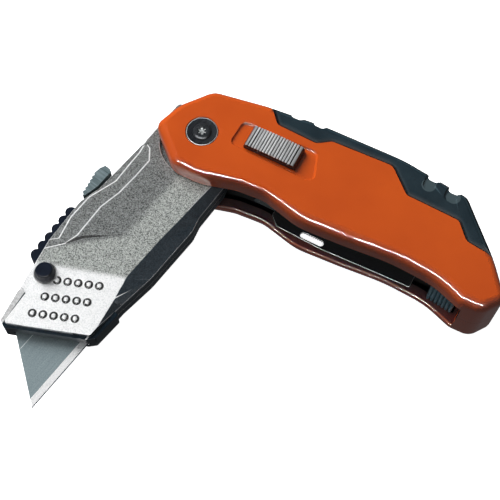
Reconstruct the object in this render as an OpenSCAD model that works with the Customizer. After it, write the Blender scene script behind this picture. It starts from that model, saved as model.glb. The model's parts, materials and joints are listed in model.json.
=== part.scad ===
// Folding utility knife with a sliding trapezoid blade.
// The handle's long side runs along +X from the pivot, its rubber spine faces +Y and its open
// channel faces -Y. The knife lies on its back shell, at Z = 0, and the pivot's axis is the Z axis.
// The blade carrier is drawn in its own frame, with its nose along +X and its cutting side
// towards +Y, and is then turned about the pivot by carrier_angle.

/* [Handle] */
// Thickness of the handle over both shells
handle_t = 24; // [24:0.25:25]
// Width of the channel between the two shells
channel_w = 12; // [12:0.1:12.4]
// Radius of the rounded edge around each shell's face
edge_r = 3.2; // [2.6:0.1:3.3]
// Thickness of each shell's face wall
face_wall = 2.2; // [2:0.1:2.4]
// Thickness of the wall around each shell
side_wall = 2.8; // [2.6:0.1:3]
// Depth of the rubber inlay below the shell's face
rubber_depth = 1.4; // [1.2:0.1:1.5]
// Thickness of the rubber along the spine
rubber_side = 1.8; // [1.6:0.1:1.9]

/* [Pivot] */
// Radius of the pivot barrel
barrel_r = 2.5; // [2.3:0.05:2.6]
// Radius of the carrier's bushing
bushing_r = 4; // [3.8:0.1:4.2]
// Radius of the ring under the pivot screw
washer_r = 5.05; // [4.8:0.05:5.2]
// Radius of the pivot screw's head
screw_head_r = 2.8; // [2.6:0.1:3]

/* [Blade carrier] */
// Thickness of the carrier
carrier_t = 11.2; // [11:0.1:11.3]
// Angle of the carrier from the closed position
carrier_angle = -100; // [-120:5:-60]
// Slope of the nose towards its front edge
nose_slope = 2.2; // [2.1:0.05:2.5]
// Slope of the nose's back face
back_nose_slope = 8; // [6:0.5:8]
// Radius of the domes on the nose
bump_r = 1.05; // [0.9:0.05:1.1]
// Height of the domes on the nose
bump_h = 0.45; // [0.3:0.05:0.45]

/* [Blade] */
// Length of the blade's cutting edge
blade_l = 61; // [60:0.5:62]
// Length of the blade's back
blade_back = 33; // [32:0.5:34]
// Height of the blade
blade_h = 19; // [18.5:0.25:19]
// Thickness of the blade
blade_t = 0.6; // [0.5:0.05:0.65]
// Distance of the blade's tip from the pivot, extended
blade_reach = 95.5; // [94:0.25:95.5]

/* [Controls] */
// Travel of the thumb slider
slide_travel = 26; // [24:0.5:26]
// Travel of the lock slide on the handle
lock_travel = 2.8; // [2:0.2:2.8]
// Travel of the blade release button
button_travel = 1.4; // [1:0.1:1.4]
// Travel of the storage latch
latch_travel = 1.2; // [0.8:0.1:1.2]
// Number of ribs on the lock slide
lock_ribs = 17; // [11:1:19]
// Number of ribs on the storage latch
latch_ribs = 7; // [5:1:8]

/* [Hidden] */
$fn = 64;

mid_z = handle_t / 2;
mouth = channel_w / 2;         // half of the channel's width
carrier_h = carrier_t / 2;     // half of the carrier's thickness
gap = 0.1;                     // play between parts that slide on each other
corner_steps = 7;              // chords in each rounded corner of an outline

// ---- Outlines. A corner is [x, y, radius], or [x, y, radius, k] where the rounded edge
// ---- of the face is k times as wide as edge_r. Corners run counterclockwise.

handle_corners = [
    [-14.4, -3.3, 3, 0.9], [-2.8, -13.8, 6, 0.9], [6.8, -13.7, 22, 0.8], [17, -10.6, 14, 0.45],
    [26.5, -9.8, 14, 0.4], [39.5, -13.0, 22, 1.05], [54, -12.1, 60, 1.05], [69, -10.7, 60, 0.85],
    [83, -11.4, 30, 0.95], [92.6, -14.7, 5, 1.05], [99.3, -14.5, 5, 1.0], [104.0, -7.8, 3, 0.8],
    [96, 2.9, 60, 0.8], [81.4, 18.0, 4, 0.8], [59, 20.8, 50, 0.8], [33, 20.3, 60, 0.8],
    [13.5, 18.4, 60, 0.8], [-4.0, 15.3, 6, 0.8], [-11.3, 5.8, 14, 0.8]
];

// The space between the shells that the carrier folds into
channel_corners = [
    [-40, -40, 1], [93.2, -40, 1], [93.2, -6, 1], [92.2, -2, 2], [81.4, -1.5, 2], [78, 11, 4],
    [73, 17.0, 3], [60, 17.0, 30], [45, 16.7, 30], [22, 16.3, 8], [16.5, 15.9, 1],
    [16.5, 40, 1], [-40, 40, 1]
];

// The rubber inlay on each face, open towards the spine
inlay_corners = [
    [19.4, 12.9, 2.5], [33.0, 12.5, 3], [37.0, 15.4, 3], [56.8, 16.3, 3], [64.6, 9.2, 2],
    [81.8, 8.7, 2], [86.4, 3.5, 3], [97.6, 2.3, 0.5], [112, 14, 1], [90, 40, 1], [13, 40, 1],
    [13.6, 19.6, 0.5]
];

inlay_gap = 0.2;               // dark seam around the rubber

// The flat-bottomed recess that the lock slide moves in
recess_corners = [[9.2, 0.2, 1.8], [38.6, -0.3, 2.2], [34.9, 10.2, 2.6], [9.5, 9.4, 2.2]];
recess_depth = 0.7;

carrier_corners = [
    [-6.8, -15.1, 1.8], [9.5, -14.7, 8], [31.5, -15.2, 8], [39, -17.0, 5], [54, -15.9, 10],
    [71.0, -12.3, 0.6], [71.4, -9.9, 0.5], [82.3, -9.0, 0.8], [69.9, 14.1, 0.8],
    [57, 14.7, 12], [45, 16.1, 14], [25.5, 16.2, 6], [20.6, 15.0, 6], [8, 14.6, 6],
    [-8, 10.0, 5], [-12.4, -1, 8]
];

// The flat face inside the long chamfer, corner for corner with carrier_corners
plateau_corners = [
    [-6.3, -14.6, 1.6], [9.5, -14.3, 8], [31.5, -14.8, 8], [39, -16.6, 5], [54, -15.5, 10],
    [70.6, -11.9, 0.5], [71.0, -9.5, 0.5], [82.0, -8.6, 0.8], [69.7, 13.7, 0.8],
    [57.5, 12.1, 8], [49.5, 10.5, 10], [36, 10.7, 14], [22, 11.5, 8], [8, 12.1, 6],
    [-7.6, 9.4, 5], [-11.9, -1, 8]
];

insert_corners = [
    [59.7, -12.4, 0.5], [72.0, -12.4, 0.6], [81.9, -10.3, 0.9], [83.0, -8.0, 0.8],
    [71.3, 13.6, 0.9], [69.4, 15.4, 0.8], [59.6, 15.9, 0.6]
];
insert_top = 3.88;
insert_bottom = 2.4;

// The carriage's plate, arm and stem, and the pocket that it slides in
stem_x0 = 27.5;
stem_x1 = 35;
carriage_x1 = 59.2;
slider_y = -15.95;             // underside of the thumb slider
carriage_corners = [
    [stem_x0, slider_y], [stem_x1, slider_y], [36.5, -10], [55, -10], [carriage_x1, -7.5],
    [carriage_x1, 5.5], [33.8, 5.5], [33.8, -7.4], [stem_x0, -7.4]
];
pocket_corners = [
    [stem_x0 - slide_travel - 0.6, -7.0], [stem_x0 - slide_travel - 0.6, -30], [stem_x1 + 0.4, -30],
    [37.0, -10.4], [55.1, -10.4], [carriage_x1 + 0.35, -7.7], [carriage_x1 + 0.35, 8], [7.3, 8],
    [7.3, -7.0]
];

spine_grip_x0 = 41.2;
spine_grip_x1 = 62.4;
grip_ribs = 6;

blade_edge_y = 13.6;           // the cutting edge, in the carrier's frame
blade_rear = blade_reach - blade_l;
blade_back_y = blade_edge_y - blade_h;
blade_slant = (blade_l - blade_back) / 2;
bevel_w = 2.2;                 // width of the ground bevel on the cutting edge
notch_xs = [-7, 7];            // the blade's two notches, from its middle

lock_y = 4.9;                  // centreline of the lock slide
lock_x0 = 13.7;
lock_l = 17.3;
lock_w = 7.4;
lock_bar_x1 = lock_x0 + lock_l + 3;
spring_stop_x = 42.6;
lock_pin_x = 7.8;
lock_pin_r = 1.2;
lock_bar_z = mouth + 1.2;      // underside of the lock bar, above the middle plane
groove_r0 = 7.3;
groove_r1 = 13.4;
groove_depth = 1.5;

button_at = [63.2, -9.1];
button_base_r = 3.1;
button_top_r = 2.5;
button_h = 2.7;
plunger_r = 1.6;

latch_x0 = 82.6;
latch_x1 = 91.4;
latch_h = mouth - 0.3;         // half of the latch's height
latch_y1 = -4.2;               // inner side of the latch
latch_spring_y = -7.4;
tongue_x0 = 87;                // tongue that guides the latch between the shells
tongue_h = 1.2;

spare_x0 = 20.7;               // rear end of the spare blades
spare_y = -4.9;                // their cutting edge

shell_screws = [[84.2, 1.0], [97.6, -7.2]];
shell_screw_r = 1.5;
carrier_screw_at = [[39.5, -13.3], [-4, 8], [68.6, -9.7]];
carrier_screw_head_r = 1.6;
carrier_screw_r = 1.1;

orange = [0.76, 0.28, 0.06];
slate = [0.24, 0.27, 0.30];
cast_silver = [0.62, 0.62, 0.63];
steel = [0.70, 0.71, 0.73];
dark_steel = [0.30, 0.31, 0.33];
black = [0.06, 0.06, 0.07];
brass = [0.75, 0.60, 0.30];

// ---- Functions

function unit(v) = v / norm(v);
function xy(c) = [c[0], c[1]];
function at(list, i) = list[(i + len(list)) % len(list)];
function turn_cw(v) = [v[1], -v[0]];

// Points of the arc that rounds corner b between its neighbours a and c
function corner_arc(a, b, c, r, n) =
    let(
        u = unit(a - b),
        v = unit(c - b),
        half = acos(max(-1, min(1, u * v))) / 2,
        reach = min(r / tan(half), 0.49 * norm(a - b), 0.49 * norm(c - b)),
        arc_r = reach * tan(half),
        centre = b + unit(u + v) * (arc_r / sin(half)),
        from = b + u * reach - centre,
        to = b + v * reach - centre,
        start = atan2(from[1], from[0]),
        sweep = ((atan2(to[1], to[0]) - start + 540) % 360) - 180
    )
    [for (k = [0:n]) centre + arc_r * [cos(start + sweep * k / n), sin(start + sweep * k / n)]];

// A closed outline from its rounded corners
function outline(corners, n = corner_steps) = [
    for (i = [0:len(corners) - 1])
        each corner_arc(
            xy(at(corners, i - 1)), xy(corners[i]), xy(at(corners, i + 1)),
            max(corners[i][2], 0.02), n
        )
];

// True where the outline turns outwards at corner i
function is_convex(corners, i) =
    let(a = xy(at(corners, i - 1)), b = xy(corners[i]), c = xy(at(corners, i + 1)))
    cross(b - a, c - b) > 0;

// The corners moved inwards by d, or by d times each corner's own k
function inset(corners, d, use_k = false) = [
    for (i = [0:len(corners) - 1])
        let(
            a = xy(at(corners, i - 1)),
            b = xy(corners[i]),
            c = xy(at(corners, i + 1)),
            n0 = -turn_cw(unit(b - a)),
            n1 = -turn_cw(unit(c - b)),
            step = d * (use_k ? corners[i][3] : 1),
            p = b + step * (n0 + n1) / (1 + n0 * n1),
            r = is_convex(corners, i) ? max(corners[i][2] - step, 0.3) : corners[i][2] + step
        )
        [p[0], p[1], r]
];

function lift(points, z) = [for (p = points) [p[0], p[1], z]];
function mixed(a, b, t) = a + (b - a) * t;

// Wavy line from a to b that bulges by h towards -y, one arc for each of n ribs
function ribs(a, b, n, h, steps = 6) = [
    for (i = [0:n - 1], k = [0:steps])
        let(t = (i + k / steps) / n)
        mixed(a, b, t) - [0, h * pow(sin(180 * k / steps), 0.7)]
];

// ---- Shared modules

// Triangles between ring j and ring l of n points each
function band(j, l, n) = [
    for (i = [0:n - 1])
        let(k = (i + 1) % n)
        each [[j * n + i, l * n + i, l * n + k], [j * n + i, l * n + k, j * n + k]]
];

// A solid through rings of equally many points, counterclockwise, from the lowest ring up
module loft(rings) {
    n = len(rings[0]);
    m = len(rings);
    polyhedron(
        points = [for (ring = rings) each ring],
        faces = [
            [for (i = [0:n - 1]) i],
            [for (i = [n - 1:-1:0]) (m - 1) * n + i],
            for (j = [0:m - 2]) each band(j, j + 1, n)
        ],
        convexity = 10
    );
}

// A closed band through rings: up its outer side, over the top and down its inner side
module band_loop(rings) {
    n = len(rings[0]);
    m = len(rings);
    polyhedron(
        points = [for (ring = rings) each ring],
        faces = [for (j = [0:m - 1]) each band(j, (j + 1) % m, n)],
        convexity = 10
    );
}

// Both halves are drawn above the middle plane: front_half lifts one, back_half mirrors it
module front_half() {
    translate([0, 0, mid_z]) children();
}

module back_half() {
    translate([0, 0, mid_z]) mirror([0, 0, 1]) children();
}

module in_carrier() {
    rotate([0, 0, carrier_angle]) translate([0, 0, mid_z]) children();
}

module prism(points, z0, z1) {
    translate([0, 0, z0]) linear_extrude(z1 - z0) polygon(points);
}

module post(p, r, z0, z1) {
    translate([p[0], p[1], z0]) cylinder(r = r, h = z1 - z0);
}

module box(x0, x1, y0, y1, z0, z1) {
    translate([x0, y0, z0]) cube([x1 - x0, y1 - y0, z1 - z0]);
}

module ring(r_in, r_out, z0, z1) {
    difference() {
        post([0, 0], r_out, z0, z1);
        post([0, 0], r_in, z0 - 1, z1 + 1);
    }
}

// Round-wire spring along Z, as one swept solid with closed ends
module coil(r, wire_r, length, turns, sides = 8, per_turn = 14) {
    steps = turns * per_turn;
    pitch = (length - 2 * wire_r) / turns;
    function bead(i, k) =
        let(a = 360 * i / per_turn, b = 360 * k / sides, rr = r + wire_r * cos(b))
        [rr * cos(a), rr * sin(a), wire_r + pitch * i / per_turn + wire_r * sin(b)];
    polyhedron(
        points = [for (i = [0:steps], k = [0:sides - 1]) bead(i, k)],
        faces = [
            [for (k = [sides - 1:-1:0]) k],
            [for (k = [0:sides - 1]) steps * sides + k],
            for (i = [0:steps - 1], k = [0:sides - 1])
                let(a = i * sides + k, b = i * sides + (k + 1) % sides)
                each [[a, b + sides, a + sides], [a, b, b + sides]]
        ]
    );
}

// ---- Handle shells

edge_angles = [82, 66, 50, 34, 18];

// The outline at a step of the face's rounded edge, a degrees above the shell's side
function edge_ring(a) =
    lift(outline(inset(handle_corners, edge_r * (1 - cos(a)), true)),
         mid_z - edge_r + edge_r * sin(a));

// What is cut off around the face to round its edge
module edge_cutter() {
    reach = 1.5;
    low = mid_z - edge_r - 0.4;
    band_loop(concat(
        [
            lift(outline(inset(handle_corners, -reach)), low),
            lift(outline(inset(handle_corners, -reach)), mid_z + 1),
            lift(outline(inset(handle_corners, edge_r * 1.02, true)), mid_z + 1),
            lift(outline(inset(handle_corners, edge_r * 1.02, true)), mid_z + 0.01)
        ],
        [for (a = edge_angles) edge_ring(a)],
        [lift(outline(inset(handle_corners, -0.02)), low)]
    ));
}

// One half of the handle's outer form, from the middle plane up to the face
module handle_form() {
    difference() {
        prism(outline(handle_corners), 0, mid_z);
        edge_cutter();
    }
}

module inlay_region(z0, z1) {
    prism(outline(inlay_corners, 4), z0, z1);
}

// The rubber's own outline, with a wide bevel along its edge on the face
module inlay_form() {
    own = inset(inlay_corners, inlay_gap);
    loft([
        lift(outline(own, 5), -1),
        lift(outline(own, 5), mid_z - 0.95),
        lift(outline(inset(own, 1.6), 5), mid_z + 0.02)
    ]);
}

// What the shell keeps under the rubber
module inlay_bed() {
    difference() {
        prism(outline(inset(handle_corners, rubber_side), 4), -1, mid_z - rubber_depth);
        for (p = spine_notches)
            box(p[0] - 2.7, p[0] + 2.7, p[1] - notch_r - 0.7, 30, -2, mid_z);
    }
}

// The hollow inside each shell, between its face wall and the channel
module shell_hollow() {
    difference() {
        prism(outline(inset(handle_corners, side_wall), 4), mouth - 1, mid_z - face_wall);
        post([0, 0], 5.7, 0, mid_z);
        box(92, 110, -30, 30, 0, mid_z);
        for (p = shell_screws)
            post(p, 3.2, 0, mid_z);
    }
}

module half_shell() {
    difference() {
        handle_form();
        prism(outline(channel_corners, 4), -1, mouth);
        shell_hollow();
        box(tongue_x0 - 0.3, latch_x1 + latch_travel + 0.4, -6, latch_y1 + 4, -1, tongue_h + gap);
        difference() {
            inlay_region(-1, mid_z + 1);
            inlay_bed();
        }
    }
}

module front_shell() {
    color(orange)
        front_half()
            difference() {
                union() {
                    half_shell();
                    box(spring_stop_x, spring_stop_x + 2, 1.5, 7.5, mouth + 1.3, mid_z - face_wall + 0.2);
                }
                post([0, 0], barrel_r, 0, mid_z + 1);
                post([0, 0], washer_r + gap, mid_z - 1.2, mid_z + 1);
                loft([
                    lift(outline(inset(recess_corners, recess_depth / 2)), mid_z - recess_depth),
                    lift(outline(inset(recess_corners, -0.1)), mid_z + 0.2)
                ]);
                box(lock_x0 + 3, lock_x0 + 11 + lock_travel, lock_y - 1.5 - gap, lock_y + 1.5 + gap,
                    mouth, mid_z + 1);
                for (p = shell_screws)
                    post(p, shell_screw_r - 0.3, -1, mid_z - 2.5);
            }
}

module back_shell() {
    color(orange)
        back_half()
            difference() {
                half_shell();
                post([0, 0], barrel_r, 0, mid_z + 1);
                post([0, 0], 4.3, mid_z - 1.2, mid_z + 1);
                prism(outline(tray_corners, 4), mouth - 1, mouth + 0.9);
                box(spare_x0 - 0.4, spare_x0 + blade_l + 0.4, spare_y - 0.3, 0, mouth, mouth + 2.4);
                box(window_xs[0] - 1.7, window_xs[1] + 1.7, -10.1, -5.2, mouth, mid_z + 1);
                for (p = shell_screws) {
                    post(p, shell_screw_r + 0.1, -1, mid_z + 1);
                    post(p, 2.7, mid_z - 1.6, mid_z + 1);
                }
            }
}

// Scallops cut into the rubber along the spine
spine_notches = [[23.6, 19.1], [31.0, 19.6], [69.8, 18.9], [76.9, 17.9]];
notch_r = 1.5;
// Shallow pads on the face below the two rear scallops
thumb_pads = [[69.2, 15.6], [76.4, 14.9]];
pad_r = 1.9;
pad_depth = 0.45;

module half_grip() {
    difference() {
        intersection() {
            handle_form();
            inlay_form();
        }
        inlay_bed();
        for (p = spine_notches) {
            post(p + [-0.6, 0], notch_r, -1, mid_z + 1);
            post(p + [0.6, 0], notch_r, -1, mid_z + 1);
            box(p[0] - 0.6, p[0] + 0.6, p[1] - notch_r, p[1] + 3, -1, mid_z + 1);
        }
        for (p = thumb_pads) {
            post(p, pad_r, mid_z - pad_depth, mid_z + 1);
            box(p[0] - pad_r, p[0] + pad_r, p[1], p[1] + 8, mid_z - pad_depth, mid_z + 1);
        }
    }
}

module front_grip() {
    color(slate) front_half() half_grip();
}

module back_grip() {
    color(slate) back_half() half_grip();
}

// ---- Handle, inner parts

liner_corners = [
    [-10.5, -3, 3], [-2, -10.4, 4], [14, -8.0, 8], [27, -6.8, 8], [40, -9.2, 8], [68, -7.4, 20],
    [80, -8, 4], [80, 9, 3], [60, 16, 4], [16, 14.5, 4], [-2, 11.8, 3]
];

module front_liner() {
    color(steel)
        front_half()
            difference() {
                prism(outline(inset(liner_corners, 0.4), 4), mouth + 0.1, mouth + 1.0);
                post([0, 0], 7, 0, mid_z);
                hull() {
                    post([lock_pin_x, lock_y - 1], lock_pin_r + 0.3, 0, mid_z);
                    post([lock_pin_x + lock_travel, lock_y - 1], lock_pin_r + 0.3, 0, mid_z);
                }
            }
}

module pivot_barrel() {
    color(dark_steel)
        difference() {
            union() {
                cylinder(r = 4.2, h = 1.2);
                cylinder(r = barrel_r, h = handle_t - 1.3);
            }
            translate([0, 0, 8]) cylinder(r = 1.5, h = handle_t);
        }
}

module pivot_screw() {
    color(dark_steel)
        difference() {
            union() {
                translate([0, 0, 12]) cylinder(r = 1.5, h = handle_t - 12);
                translate([0, 0, handle_t - 0.3])
                    rotate_extrude()
                        polygon([[0, 0], [screw_head_r, 0], [screw_head_r, 0.35], [2.3, 0.7], [0, 0.8]]);
            }
            for (a = [0:60:120])
                rotate([0, 0, a]) box(-1.35, 1.35, -0.35, 0.35, handle_t - 0.9, handle_t + 1);
        }
}

module pivot_washer() {
    color(black)
        rotate_extrude()
            polygon([
                [barrel_r + gap, handle_t - 1.2], [washer_r, handle_t - 1.2], [washer_r, handle_t - 0.4],
                [washer_r - 0.3, handle_t - 0.1], [3.5, handle_t - 0.3], [3.3, handle_t - 0.3],
                [barrel_r + gap, handle_t - 0.3]
            ]);
}

module pivot_spacers() {
    color(brass) {
        translate([0, 0, mid_z]) ring(barrel_r + gap, 6.3, carrier_h - 0.3, mouth - 0.02);
        translate([0, 0, mid_z]) ring(barrel_r + gap, 6.3, -mouth + 0.02, -carrier_h + 0.3);
    }
}

module handle_screws() {
    color(dark_steel)
        back_half()
            for (p = shell_screws)
                difference() {
                    union() {
                        post(p, 2.5, mid_z - 1.6, mid_z - 0.2);
                        translate([0, 0, -8]) post(p, shell_screw_r - 0.3, 0, mid_z + 6.6);
                    }
                    translate([p[0], p[1], mid_z - 1.1]) cylinder(r = 1.2, h = 2, $fn = 6);
                }
}

// Sheet-metal tray over the spare blades, seated in the back shell's belly edge
tray_corners = [
    [28.4, -7.4, 0.6], [31.4, -10.3, 1], [47.5, -11.0, 8], [66, -10.2, 20], [77, -9.9, 0.8],
    [77, 13.2, 2], [28.4, 13.2, 2]
];

// Window in the tray, over a slot through the back shell
window_xs = [40.3, 46.3];
window_y = -9.1;
window_r = 0.95;

module spare_blade_tray() {
    color(steel)
        back_half()
            difference() {
                prism(outline(inset(tray_corners, 0.15), 4), mouth + 0.1, mouth + 0.9);
                for (x = window_xs)
                    post([x, window_y], window_r, 0, mid_z);
                box(window_xs[0], window_xs[1], window_y - window_r, window_y + window_r, 0, mid_z);
            }
}

// Trapezoid blade with its cutting edge on y = 0 and its back at y = -blade_h
function blade_points() = [
    [0, 0], [blade_slant, -blade_h],
    for (x = notch_xs) each [
        [blade_l / 2 + x - 1.6, -blade_h], [blade_l / 2 + x - 1.2, -blade_h + 2.6],
        [blade_l / 2 + x + 1.2, -blade_h + 2.6], [blade_l / 2 + x + 1.6, -blade_h]
    ],
    [blade_l - blade_slant, -blade_h], [blade_l, 0]
];

module blade_solid() {
    edge_t = 0.06;
    tilt = atan((blade_t - edge_t) / 2 / bevel_w);
    difference() {
        prism(blade_points(), -blade_t / 2, blade_t / 2);
        for (side = [0, 1])
            mirror([0, 0, side])
                translate([-1, -bevel_w, blade_t / 2])
                    rotate([-tilt, 0, 0]) cube([blade_l + 2, 2 * bevel_w, 1]);
    }
}

module spare_blades() {
    color(steel)
        for (i = [0, 1])
            translate([spare_x0, spare_y, mid_z - mouth - 0.95 - (i + 0.5) * blade_t - i * 0.05])
                mirror([0, 1, 0]) blade_solid();
}

// ---- Lock

module lock_slide() {
    crown = 1.4 + recess_depth;
    pitch = (lock_l - 1.2) / lock_ribs;
    color(steel)
        front_half()
            difference() {
                union() {
                    translate([lock_x0 + lock_l / 2, lock_y + lock_w / 2, mid_z - recess_depth + gap])
                        rotate([90, 0, 0])
                            linear_extrude(lock_w)
                                polygon([
                                    [-lock_l / 2, 0], [lock_l / 2, 0], [lock_l / 2, crown - 0.8],
                                    for (k = [8:-1:-8]) [k * lock_l / 17, crown + 0.6 * cos(k * 9)],
                                    [-lock_l / 2, crown - 0.8]
                                ]);
                    box(lock_x0 + 3 + gap, lock_x0 + 11 - gap, lock_y - 1.5, lock_y + 1.5,
                        lock_bar_z + 2, mid_z - 0.5);
                }
                for (i = [0:lock_ribs - 2])
                    box(lock_x0 + 0.6 + pitch * (i + 0.72), lock_x0 + 0.6 + pitch * (i + 1),
                        lock_y - lock_w, lock_y + lock_w, mid_z + 0.75, mid_z + 3);
            }
}

module lock_bar() {
    color(steel)
        front_half()
            difference() {
                union() {
                    box(12, lock_bar_x1, lock_y - 3.2, lock_y + 2.2, lock_bar_z, lock_bar_z + 2);
                    box(lock_pin_x - 1.6, 12, lock_y - 3.2, lock_y + 1.2, lock_bar_z, lock_bar_z + 2);
                }
                post([lock_pin_x, lock_y - 1], lock_pin_r, 0, mid_z);
            }
}

module lock_pin() {
    color(dark_steel)
        front_half()
            post([lock_pin_x, lock_y - 1], lock_pin_r, carrier_h - groove_depth + 0.3, lock_bar_z + 2);
}

module lock_spring() {
    color(dark_steel)
        translate([lock_bar_x1 + 0.05, lock_y - 0.4, mid_z + lock_bar_z + 1.2])
            rotate([0, 90, 0]) coil(1.0, 0.2, spring_stop_x - lock_bar_x1 - 0.1, 7);
}

// ---- Storage latch

module storage_latch() {
    pitch = (latch_x1 - latch_x0) / latch_ribs;
    color(slate)
        translate([0, 0, mid_z])
            difference() {
                union() {
                    prism(
                        [
                            [latch_x0, latch_y1],
                            for (i = [0:latch_ribs - 1])
                                let(x = latch_x0 + pitch * i, y = -10.5 - 1.0 * i / (latch_ribs - 1))
                                each [
                                    [x + 0.02, y + 0.6], [x + pitch * 0.2, y - 0.2],
                                    [x + pitch * 0.35, y - 0.4], [x + pitch * 0.6, y - 0.4],
                                    [x + pitch * 0.78, y - 0.2], [x + pitch - 0.02, y + 0.6]
                                ],
                            [latch_x1, latch_y1]
                        ],
                        -latch_h, latch_h
                    );
                    box(tongue_x0, latch_x1 - 0.2, latch_y1 - 1, latch_y1 + 3.7, -tongue_h, tongue_h);
                }
                translate([latch_x1 - 3, latch_spring_y, 0])
                    rotate([0, 90, 0]) cylinder(r = 1.9, h = 4);
            }
}

module latch_spring() {
    color(dark_steel)
        translate([latch_x1 - 2.95, latch_spring_y, mid_z])
            rotate([0, 90, 0]) coil(1.4, 0.22, 4.7, 4);
}

// ---- Carrier shells

// What is cut off between the carrier's side and the edge of its flat face
module chamfer_cutter() {
    low = carrier_h - 2.1;
    grown = outline(inset(carrier_corners, -0.02));
    plateau = outline(plateau_corners);
    band_loop([
        lift(outline(inset(carrier_corners, -1.5)), low),
        lift(outline(inset(carrier_corners, -1.5)), carrier_h + 1),
        lift(outline(inset(plateau_corners, 0.14)), carrier_h + 1),
        lift(outline(inset(plateau_corners, 0.14)), carrier_h + 0.01),
        lift([for (i = [0:len(grown) - 1]) mixed(grown[i], plateau[i], 0.92)], carrier_h - 0.22),
        lift(grown, low)
    ]);
}

module carrier_form() {
    difference() {
        prism(outline(carrier_corners), 0, carrier_h);
        chamfer_cutter();
    }
}

module nose_cut(slope) {
    translate([59.9, -7.9, carrier_h])
        rotate([0, 0, 27.1]) rotate([0, slope, 0]) translate([0, -40, 0]) cube([60, 80, 8]);
}

function bump_at(i, j) = [62.8 + 6.0 * i - 1.55 * j, -4.8 + 0.45 * i + 2.75 * j];

// Height of the sloping nose at a point
function nose_z(p, slope) =
    carrier_h - max(0, ([p[0] - 59.9, p[1] + 7.9] * [cos(27.1), sin(27.1)]) * tan(slope));

// A cap of a sphere, bump_h high and bump_r in radius
module dome() {
    ball_r = (bump_r * bump_r + bump_h * bump_h) / (2 * bump_h);
    intersection() {
        translate([0, 0, bump_h - ball_r]) sphere(r = ball_r, $fn = 32);
        translate([0, 0, -0.3]) cylinder(r = bump_r + 0.2, h = bump_h + 1);
    }
}

module bumps(slope) {
    for (i = [0:2], j = [0:4])
        translate([bump_at(i, j)[0], bump_at(i, j)[1], nose_z(bump_at(i, j), slope)]) dome();
}

module half_carrier(slope, insert_h) {
    difference() {
        carrier_form();
        nose_cut(slope);
        prism(outline(insert_corners), -1, insert_h + 0.02);
        prism(pocket_corners, -1, 2.5);
        box(7, 60, blade_back_y - 0.5, blade_edge_y + 0.4, -1, blade_t / 2 + 0.3);
        prism(grip_points(0.05), -1, 3.8);
        post([0, 0], bushing_r, -1, 10);
        post([0, 0], 6.6, carrier_h - 0.4, 10);
    }
}

module carrier_front_shell() {
    color(cast_silver)
        in_carrier()
            difference() {
                union() {
                    half_carrier(nose_slope, insert_top);
                    bumps(nose_slope);
                }
                ring(groove_r0, groove_r1, carrier_h - groove_depth, 10);
                post(button_at, button_base_r + 0.3, carrier_h - 0.1 - button_travel - 0.15, 10);
                post(button_at, plunger_r + 0.3, 0, 10);
                for (p = carrier_screw_at)
                    post(p, carrier_screw_r - 0.2, -1, 3.6);
            }
}

module carrier_back_shell() {
    color(cast_silver)
        in_carrier()
            mirror([0, 0, 1])
                difference() {
                    union() {
                        half_carrier(back_nose_slope, insert_bottom);
                        bumps(back_nose_slope);
                    }
                    for (p = carrier_screw_at) {
                        post(p, carrier_screw_r + 0.1, -1, 10);
                        post(p, carrier_screw_head_r + 0.1, nose_z(p, back_nose_slope) - 1.3, 10);
                    }
                }
}

module nose_insert() {
    color(dark_steel)
        in_carrier()
            difference() {
                prism(outline(inset(insert_corners, 0.05)), -insert_bottom, insert_top);
                box(50, 120, blade_back_y - 0.5, blade_edge_y + 0.4, -blade_t / 2 - 0.3, blade_t / 2 + 0.3);
                post(button_at, plunger_r + 0.3, -3, 10);
                for (p = carrier_screw_at)
                    post(p, carrier_screw_r + 0.1, -10, 10);
            }
}

// Wavy grip on the carrier's spine; grow enlarges its lower part for the groove it sits in
function grip_points(grow) = concat(
    [[spine_grip_x1 + grow - 3, -12.2 + grow], [spine_grip_x0 - grow, -13.4 + grow]],
    [[spine_grip_x0 - grow, -17.4]],
    ribs([spine_grip_x0 + 0.2, -17.9], [spine_grip_x1 - 0.8, -16.6], grip_ribs, 1.1),
    [[spine_grip_x1 + grow - 0.4, -14.0]]
);

module spine_grip() {
    color(black)
        in_carrier()
            prism(grip_points(0), -3.75, 3.75);
}

module tang_bushing() {
    color(brass) in_carrier() ring(barrel_r + 0.05, bushing_r, 0.35 - carrier_h, carrier_h - 0.35);
}

module carrier_screws() {
    color(dark_steel)
        in_carrier()
            mirror([0, 0, 1])
                for (p = carrier_screw_at)
                    let(top = nose_z(p, back_nose_slope))
                    difference() {
                        union() {
                            post(p, carrier_screw_head_r, top - 1.3, top - 0.4);
                            post(p, carrier_screw_r - 0.2, -3.4, top - 1.2);
                        }
                        translate([p[0], p[1], top - 0.9]) cylinder(r = 0.9, h = 2, $fn = 6);
                    }
}

// Spring strip with click notches beside the carriage
module detent_strip() {
    color(steel)
        in_carrier()
            prism(
                concat(
                    [[58, 7.4], [58, 8], [8, 8], [8, 7.4]],
                    [for (i = [0:3]) each [[14 + 12 * i, 7.4], [15 + 12 * i, 6.7], [16 + 12 * i, 7.4]]]
                ),
                0.9, 2.5
            );
}

// ---- Release button

module release_button() {
    color(black)
        in_carrier()
            translate([button_at[0], button_at[1], 0]) {
                translate([0, 0, carrier_h - 0.05])
                    rotate_extrude()
                        polygon([
                            [0, 0], [button_base_r, 0], [button_base_r, 0.9], [button_base_r - 0.25, 1.3],
                            [button_top_r, button_h - 0.3], [button_top_r - 0.3, button_h], [0, button_h]
                        ]);
                translate([0, 0, 0.6]) cylinder(r = plunger_r, h = carrier_h - 0.6);
            }
}

module button_spring() {
    color(dark_steel)
        in_carrier()
            translate([button_at[0], button_at[1], -insert_bottom + 0.02]) coil(1.2, 0.2, insert_bottom + 0.55, 3);
}

// ---- Blade and its carriage

module blade() {
    color(steel) in_carrier() translate([blade_rear, blade_edge_y, 0]) blade_solid();
}

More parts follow.
